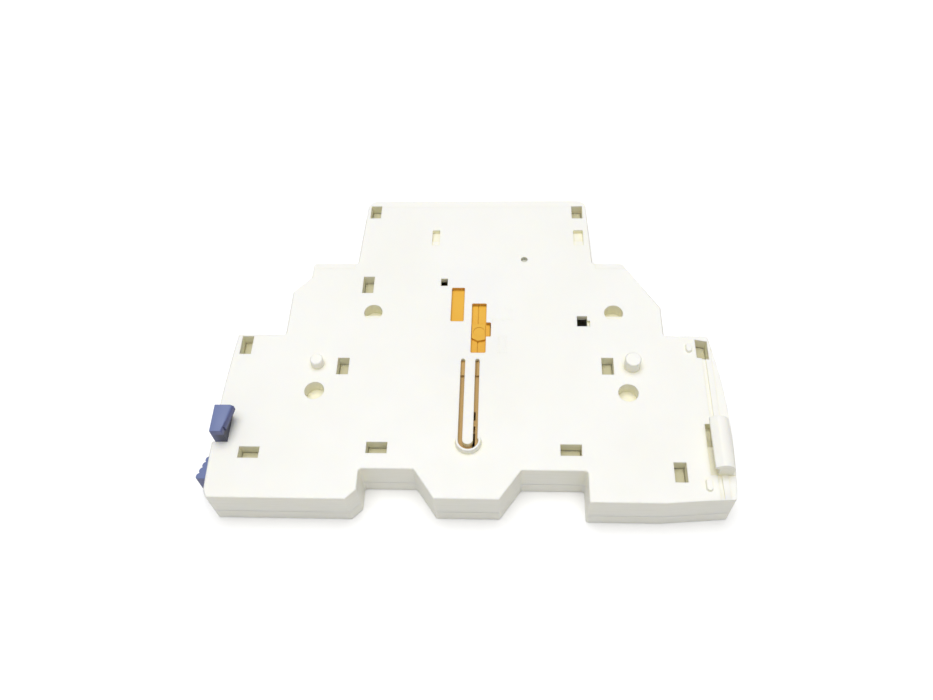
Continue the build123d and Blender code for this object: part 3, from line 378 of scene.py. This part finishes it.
def makeMetal(name, settings):
    material, tree, shader, coordinates = newMaterial(name)
    place = coordinates.outputs["Object"]
    tarnish = addNoise(tree, place, **metalPatterns["tarnish"])
    tarnished = addRange(tree, tarnish, 0, 1, *metalPatterns["tarnishSpan"])
    colour = addMix(tree, tarnished, settings["light"], settings["dark"])
    tree.links.new(colour, shader.inputs["Base Color"])
    shader.inputs["Metallic"].default_value = 1.0
    drawn = addStretch(tree, place, metalPatterns["lineStretch"])
    lines = addNoise(tree, drawn, **metalPatterns["lines"])
    roughness = addRange(tree, lines, *settings["roughness"], *noiseSpan)
    tree.links.new(roughness, shader.inputs["Roughness"])
    normal = addBump(tree, lines, metalPatterns["lineDepth"], metalPatterns["lineStrength"])
    tree.links.new(normal, shader.inputs["Normal"])
    return material


metals = {name: makeMetal(name, settings) for name, settings in metalSettings.items()}
print("materials made")


# Dressed copies of the CAD nodes: merged, smooth over curves, with flat faces that stay flat. The
# distance is in metres, and the angles are in degrees
dressSettings = {
    "mergeDistance": 2e-6,
    "flatAngle": 0.5,
    "sharpAngle": 50,
    "flatWeight": 100,
    "plastics": {"base_shell": baseCream, "cover_shell": coverCream, "latch_lever": bluePlastic,
                 "driver_slide": amberPlastic},
}


def linkPiece(name, mesh, material, body):
    mesh.materials.clear()
    mesh.materials.append(material)
    piece = bpy.data.objects.new(name, mesh)
    bpy.context.scene.collection.objects.link(piece)
    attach(piece, body)
    return piece


# Terminal screws, in millimetres: the CAD shank is as wide as the thread, so its copy narrows to the root
threadSettings = {
    "outer": 1.5, "root": 1.22, "match": 0.02,
    "pitch": 0.5, "crestWidth": 0.08, "footWidth": 0.42, "sunk": 0.05,
    "headGap": 0.15, "runOut": 0.5, "leastRise": 0.15, "perTurn": 36,
}


def readPoints(mesh):
    points = np.empty(len(mesh.vertices) * 3)
    mesh.vertices.foreach_get("co", points)
    return points.reshape(-1, 3) / mm


# Middle of a screw, which points lie on its shank, and how far each point is from the axis
def findShank(points):
    centre = (points.min(axis=0) + points.max(axis=0)) / 2
    away = np.hypot(points[:, 0] - centre[0], points[:, 2] - centre[2])
    return centre, np.abs(away - threadSettings["outer"]) < threadSettings["match"], away


def narrowShank(mesh):
    points = readPoints(mesh)
    centre, onShank, away = findShank(points)
    share = np.where(onShank, threadSettings["root"] / np.maximum(away, threadSettings["match"]), 1)
    for axis in (0, 2):
        points[:, axis] = centre[axis] + (points[:, axis] - centre[axis]) * share
    mesh.vertices.foreach_set("co", (points * mm).ravel())
    mesh.update()


def dressNode(name, material):
    mesh = nodes[name].data.copy()
    mesh.name = name + "_dressed"
    work = bmesh.new()
    work.from_mesh(mesh)
    bmesh.ops.remove_doubles(work, verts=work.verts, dist=dressSettings["mergeDistance"])
    bmesh.ops.dissolve_limit(work, angle_limit=math.radians(dressSettings["flatAngle"]),
                             verts=work.verts, edges=work.edges)
    work.to_mesh(mesh)
    work.free()
    if name.endswith("_screw"):
        narrowShank(mesh)
    for stale in ("custom_normal", "sharp_face"):  # made for the loose triangles
        if stale in mesh.attributes:
            mesh.attributes.remove(mesh.attributes[stale])
    mesh.polygons.foreach_set("use_smooth", np.ones(len(mesh.polygons), bool))
    mesh.set_sharp_from_angle(angle=math.radians(dressSettings["sharpAngle"]))
    piece = linkPiece(name + "_dressed", mesh, material, nodes[name]["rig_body"])
    flat = piece.modifiers.new("flat_faces", "WEIGHTED_NORMAL")
    flat.mode = "FACE_AREA_WITH_ANGLE"
    flat.weight = dressSettings["flatWeight"]
    flat.keep_sharp = True
    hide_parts(name)


slotOf = {part["node"]: part["material_slot"] for part in frame["record"]["subparts"]}
springNames = ["latch_spring", "driver_spring"]
for name in nodes:
    slotName = slotOf[name]
    material = dressSettings["plastics"].get(name) or metals[slotName]
    nodes[name].data.materials.clear()
    nodes[name].data.materials.append(material)
    if name not in springNames:
        dressNode(name, material)
print("CAD nodes dressed")


# Coil springs with closed ends, in place of the plain CAD coils, in millimetres. Each lists the joint that
# works it and the length named squeezed, which this script does not use
springSettings = {
    "latch_spring": {"start": (-42.2, -0.4, 4.6), "end": (-40.2, -0.4, 4.6), "radius": 0.8, "wire": 0.11,
                     "turns": 5, "closing": 0.45, "along": 220, "around": 14,
                     "joint": "latch_tilt", "squeezed": 1.43},
    "driver_spring": {"start": (0, 37.5, 4.2), "end": (0, 48.2, 4.2), "radius": 1.65, "wire": 0.22,
                      "turns": 7, "closing": 0.75, "along": 420, "around": 14,
                      "joint": "driver_travel", "squeezed": 7.1},
}


# Mesh of a closed tube: rows of points round a line, joined by quads, with a fan over each end
def tubeMesh(name, rows):
    count, around = rows.shape[:2]
    row, step = np.meshgrid(np.arange(count - 1), np.arange(around), indexing="ij")
    following = (step + 1) % around
    quads = np.stack([row * around + step, row * around + following,
                      (row + 1) * around + following, (row + 1) * around + step], -1).reshape(-1, 4)
    points = np.vstack([rows.reshape(-1, 3), rows[0].mean(axis=0), rows[-1].mean(axis=0)])
    step = np.arange(around)
    following = (step + 1) % around
    last = (count - 1) * around
    firstFan = np.stack([following, step, np.full(around, len(points) - 2)], -1)
    lastFan = np.stack([last + step, last + following, np.full(around, len(points) - 1)], -1)
    mesh = bpy.data.meshes.new(name)
    mesh.from_pydata((points * mm).tolist(), [], quads.tolist() + firstFan.tolist() + lastFan.tolist())
    mesh.polygons.foreach_set("use_smooth", np.ones(len(mesh.polygons), bool))
    return mesh


# Wire surface: a circle of the wire's radius carried along a helix whose rise is
# t - closing * sin(2 pi t) / (2 pi) of the length at the share t of the turns
def springRows(settings):
    start, end = np.array(settings["start"], float), np.array(settings["end"], float)
    length = np.linalg.norm(end - start)
    axis = (end - start) / length
    side = np.cross(axis, (0, 0, 1.0))
    other = np.cross(axis, side)
    t = np.linspace(0, 1, settings["along"])
    rise = t - settings["closing"] * np.sin(2 * np.pi * t) / (2 * np.pi)
    height = settings["wire"] + (length - 2 * settings["wire"]) * rise
    turn = 2 * np.pi * settings["turns"] * t
    outward = np.cos(turn)[:, None] * side + np.sin(turn)[:, None] * other
    centre = start + height[:, None] * axis + settings["radius"] * outward
    tangent = np.gradient(centre, axis=0)
    tangent = tangent / np.linalg.norm(tangent, axis=1)[:, None]
    binormal = np.cross(tangent, outward)
    angle = np.linspace(0, 2 * np.pi, settings["around"], endpoint=False)
    ring = (np.cos(angle)[None, :, None] * outward[:, None, :]
            + np.sin(angle)[None, :, None] * binormal[:, None, :])
    return centre[:, None, :] + settings["wire"] * ring


for name in springNames:
    settings = springSettings[name]
    mesh = tubeMesh(name + "_wire", springRows(settings))
    spring = linkPiece(name + "_wire", mesh, metals["spring_steel"], "housing")
    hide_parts(name)
    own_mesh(spring)
print("springs wound")


# Thread surface: a ridge with a narrow crest and a wide foot, carried round the shank on a right-handed
# helix. The crest rises from the foot over the first runOut of a turn, and falls again over the last
def threadRows(points, settings):
    centre, onShank, _ = findShank(points)
    low, high = points[onShank, 1].min(), points[onShank, 1].max() - settings["headGap"]
    turns = (high - low) / settings["pitch"]
    t = np.linspace(0, 1, int(turns * settings["perTurn"]) + 1)
    angle = -2 * np.pi * turns * t
    rise = np.clip(np.minimum(t, 1 - t) * turns / settings["runOut"], settings["leastRise"], 1)
    foot = np.full_like(t, settings["root"] - settings["sunk"])
    crest = foot + rise * (settings["outer"] - foot)
    radius = np.stack([crest, crest, foot, foot], axis=1)
    shift = np.array([settings["crestWidth"], -settings["crestWidth"],
                      -settings["footWidth"], settings["footWidth"]]) / 2
    across = centre[0] + radius * np.cos(angle)[:, None]
    along = (low + (high - low) * t)[:, None] + shift
    height = centre[2] + radius * np.sin(angle)[:, None]
    return np.stack([across, along, height], axis=-1)


for name in nodes:
    if name.endswith("_screw"):
        mesh = tubeMesh(name + "_thread", threadRows(readPoints(nodes[name].data), threadSettings))
        mesh.set_sharp_from_angle(angle=math.radians(dressSettings["sharpAngle"]))
        linkPiece(name + "_thread", mesh, metals[slotOf[name]], nodes[name]["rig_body"])
print("screw threads cut")


# Faint marks that the mould left on the face: low ridges between pairs of points, in millimetres
markSettings = {
    "face": 8.8, "sunk": 0.05, "along": 40, "across": 9,
    "runs": {
        "mark_bar": {"from": (3.7, 30.95), "to": (7.5, 30.95), "width": 0.3, "rise": 0.006},
        "mark_frame_left": {"from": (5.0, 27.1), "to": (5.0, 23.6), "width": 0.22, "rise": 0.003},
        "mark_frame_right": {"from": (6.35, 27.1), "to": (6.35, 23.6), "width": 0.22, "rise": 0.003},
        "mark_frame_top": {"from": (4.9, 27.2), "to": (6.5, 27.2), "width": 0.22, "rise": 0.003},
        "mark_frame_foot": {"from": (4.9, 23.5), "to": (6.5, 23.5), "width": 0.22, "rise": 0.003},
        "mark_corner": {"from": (6.2, 33.6), "to": (7.5, 33.2), "width": 0.3, "rise": 0.004},
        "mark_dot": {"from": (-15.3, 57.8), "to": (-14.9, 57.8), "width": 0.4, "rise": 0.02},
    },
}


# Ridge surface: rise * sin(pi u)^2 * (1 - (2t - 1)^6) over the share t along and u across,
# closed by the same grid laid flat below the face
def ridgeRows(run, settings):
    start, end = np.array([*run["from"], 0.0]), np.array([*run["to"], 0.0])
    direction = (end - start) / np.linalg.norm(end - start)
    side = np.cross((0, 0, 1.0), direction)
    t = np.linspace(0, 1, settings["along"])[:, None]
    u = np.linspace(0, 1, settings["across"])[None, :]
    lift = settings["face"] + run["rise"] * np.sin(np.pi * u) ** 2 * (1 - (2 * t - 1) ** 6)
    flat = start + t[..., None] * (end - start) + ((u - 0.5) * run["width"])[..., None] * side
    top, below = flat.copy(), flat[:, ::-1].copy()
    top[..., 2] = lift
    below[..., 2] = settings["face"] - settings["sunk"]
    return np.concatenate([top, below], axis=1)[:, ::-1]


for name, run in markSettings["runs"].items():
    mesh = tubeMesh(name, ridgeRows(run, markSettings))
    linkPiece(name, mesh, markCream, "housing")
print("mould marks made")


# Pale floor, in metres, that glows more with distance from the object, so that it keeps the near shadow
# and is white further out. Soft light comes from above, the front and all round
stageSettings = {
    "floorSize": 3.0, "floorBelow": 0.00002, "floorWhite": 0.95, "floorBounce": 0.88,
    "floorDrift": {"scale": 3, "detail": 2}, "floorSwing": (0.99, 1), "floorRoughness": 0.9,
    "floorSpecular": 0.1, "glow": (0.14, 1.0), "glowFrom": (0.05, 0.5), "worldStrength": 0.33,
}
lampSettings = [
    {"name": "overhead", "place": (-0.03, 0.08, 0.85), "aim": (0, 0.02, 0), "size": 0.7, "watts": 5.75},
    {"name": "front", "place": (0.20, -0.60, 0.35), "aim": (0, 0.02, 0), "size": 0.6, "watts": 0.3},
]


def makeFloor(settings):
    half = settings["floorSize"] / 2
    level = -settings["floorBelow"]
    mesh = bpy.data.meshes.new("floor")
    corners = [(-half, -half, level), (half, -half, level), (half, half, level), (-half, half, level)]
    mesh.from_pydata(corners, [], [(0, 1, 2, 3)])
    floor = bpy.data.objects.new("floor", mesh)
    bpy.context.scene.collection.objects.link(floor)
    material, tree, shader, coordinates = newMaterial("floor")
    drift = addNoise(tree, coordinates.outputs["Object"], **settings["floorDrift"])
    path = tree.nodes.new("ShaderNodeLightPath")
    seen = path.outputs["Is Camera Ray"]
    grey = addRange(tree, seen, settings["floorBounce"], settings["floorWhite"])
    swing = addRange(tree, drift, *settings["floorSwing"])
    tree.links.new(addMath(tree, "MULTIPLY", grey, swing), shader.inputs["Base Color"])
    shader.inputs["Roughness"].default_value = settings["floorRoughness"]
    shader.inputs["Specular IOR Level"].default_value = settings["floorSpecular"]
    shader.inputs["Emission Color"].default_value = (1, 1, 1, 1)
    away = tree.nodes.new("ShaderNodeVectorMath")
    away.operation = "LENGTH"
    tree.links.new(coordinates.outputs["Object"], away.inputs[0])
    glow = addRange(tree, away.outputs["Value"], *settings["glow"], *settings["glowFrom"])
    tree.links.new(addMath(tree, "MULTIPLY", glow, seen), shader.inputs["Emission Strength"])
    mesh.materials.append(material)


def makeWorld(settings):
    world = bpy.data.worlds.new("studio")
    bpy.context.scene.world = world
    world.use_nodes = True
    tree = world.node_tree
    background = tree.nodes["Background"]
    background.inputs["Color"].default_value = (1, 1, 1, 1)
    path = tree.nodes.new("ShaderNodeLightPath")
    strength = addRange(tree, path.outputs["Is Camera Ray"], settings["worldStrength"], 1.0)
    tree.links.new(strength, background.inputs["Strength"])


def makeLamp(settings):
    data = bpy.data.lights.new(settings["name"], "AREA")
    data.shape = "DISK"
    data.size = settings["size"]
    data.energy = settings["watts"]
    lamp = bpy.data.objects.new(settings["name"], data)
    bpy.context.scene.collection.objects.link(lamp)
    lamp.location = settings["place"]
    toward = Vector(settings["aim"]) - Vector(settings["place"])
    lamp.rotation_mode = "QUATERNION"
    lamp.rotation_quaternion = toward.to_track_quat("-Z", "Y")


makeFloor(stageSettings)
makeWorld(stageSettings)
for lamp in lampSettings:
    makeLamp(lamp)
bpy.context.scene.view_settings.view_transform = "Standard"
print("floor and light set")
